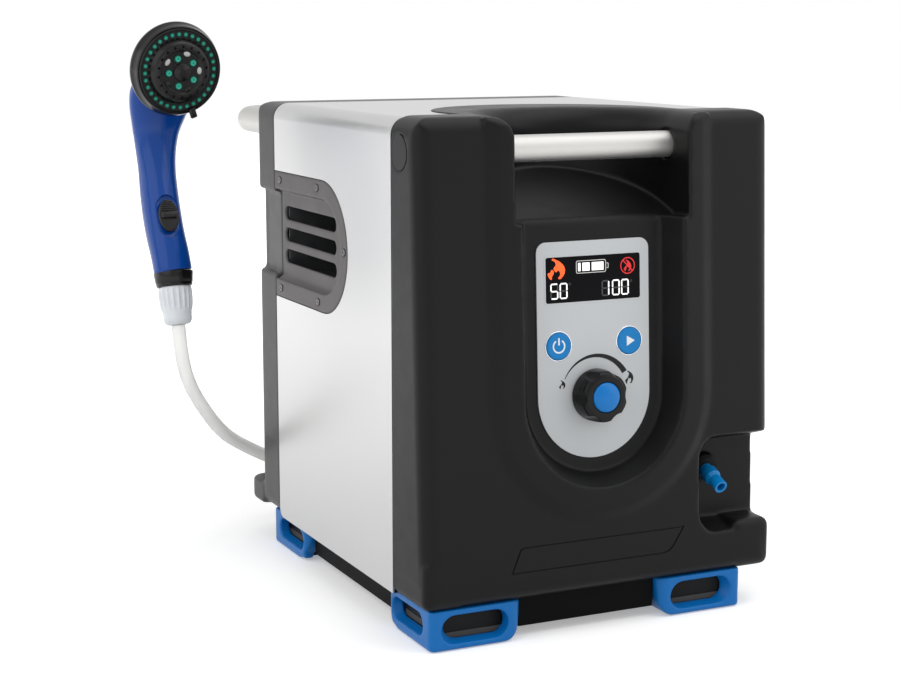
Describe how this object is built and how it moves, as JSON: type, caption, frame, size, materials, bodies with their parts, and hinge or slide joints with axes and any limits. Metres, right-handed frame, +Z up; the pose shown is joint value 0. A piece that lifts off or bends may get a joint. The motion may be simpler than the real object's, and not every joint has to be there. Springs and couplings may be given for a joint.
{
  "type": "portable gas water heater",
  "caption": "Box-shaped portable gas water heater on slotted feet, with carrying handles, a round-ended control panel, an exhaust grille and a hand shower on a coiled hose.",
  "frame": {"origin": "on the floor, midway between the four feet, on the case's middle plane", "axes": "+X to the right seen from the front, +Y to the back, +Z up"},
  "size_m": [0.4252, 0.5497, 0.4547],
  "materials": {
    "black_moulding": "fine moulded grain, satin",
    "brushed_sheet": "brushed",
    "grey_moulding": "fine moulded grain",
    "black_sheet": "powder coat",
    "blue_rubber": "smooth, semi-gloss",
    "steel_tube": "satin",
    "grille_grey": "fine moulded grain",
    "screw_steel": "plain",
    "panel_silver": "satin foil",
    "display_glass": "gloss",
    "circuit_board": "solder mask",
    "blue_button": "semi-gloss",
    "knob_black": "semi-gloss",
    "blue_cap": "gloss",
    "brass": "turned",
    "black_rubber": "matte",
    "grey_hose": "smooth",
    "white_plastic": "smooth",
    "copper": "drawn copper",
    "aluminium_pipe": "drawn",
    "burner_steel": "heat tinted",
    "zinc_sheet": "galvanised",
    "ceramic": "glazed",
    "battery_wrap": "shrink wrap",
    "blue_gloss": "gloss",
    "head_black": "satin",
    "green_rubber": "soft nozzle",
    "clear_plastic": "translucent",
    "clear_hose": "translucent"
  },
  "bodies": {
    "case": {"front_cover": "black_moulding", "steel_wrap": "brushed_sheet", "rear_cover": "grey_moulding", "base_pan": "black_sheet", "foot_front_left": "blue_rubber", "foot_front_right": "blue_rubber", "foot_rear_left": "blue_rubber", "foot_rear_right": "blue_rubber", "front_bar": "steel_tube", "bar_cap_left": "black_moulding", "bar_cap_right": "black_moulding", "rear_handle": "steel_tube", "exhaust_grille": "grille_grey", "grille_screws": "screw_steel", "control_panel": "panel_silver", "lcd_window": "display_glass", "control_board": "circuit_board", "gas_valve": "brass", "nipple_gland": "black_rubber", "water_nipple": "blue_button", "inlet_pipe": "grey_hose", "water_pump": "black_moulding", "flow_sensor": "white_plastic", "cold_pipe": "copper", "gas_inlet": "brass", "gas_pipe": "aluminium_pipe", "burner_manifold": "aluminium_pipe", "burner_bars": "burner_steel", "inner_shelf": "zinc_sheet", "combustion_box": "copper", "heat_exchanger": "copper", "exchanger_tube": "copper", "exhaust_hood": "zinc_sheet", "igniter": "ceramic", "battery_pack": "battery_wrap", "outlet_elbow": "copper", "hot_outlet": "brass", "charge_socket": "black_rubber", "handset_handle": "blue_gloss", "handset_head": "head_black", "handset_ring": "black_rubber", "hose_nut": "clear_plastic", "hose_run": "clear_hose", "hose_coil": "clear_hose", "hose_tail": "clear_hose", "hose_coupling": "clear_plastic"},
    "knob": {"gas_knob": "knob_black", "knob_cap": "blue_cap", "valve_stem": "brass"},
    "power_key": {"power_button": "blue_button"},
    "start_key": {"start_button": "blue_button"},
    "selector": {"spray_face": "head_black", "spray_nozzles": "green_rubber"},
    "thumb_key": {"flow_switch": "black_rubber"}
  },
  "joints": [
    {"name": "knob_turn", "type": "hinge", "parent": "case", "child": "knob", "pos_m": [0, -0.14826, 0.1776], "axis": [0, -0.9988, 0.0499], "range_deg": [-80, 80]},
    {"name": "power_press", "type": "slide", "parent": "case", "child": "power_key", "axis": [0, 0.9988, -0.0499], "range_m": [0, 0.0015], "stiffness_N_per_m": 400},
    {"name": "start_press", "type": "slide", "parent": "case", "child": "start_key", "axis": [0, 0.9988, -0.0499], "range_m": [0, 0.0015], "stiffness_N_per_m": 400},
    {"name": "selector_turn", "type": "hinge", "parent": "case", "child": "selector", "pos_m": [-0.236, 0.118, 0.415], "axis": [0.0896, -0.9847, -0.1495], "range_deg": [-144, 144]},
    {"name": "thumb_slide", "type": "slide", "parent": "case", "child": "thumb_key", "axis": [0, 0.3746, 0.9272], "range_m": [-0.004, 0.004]}
  ]
}
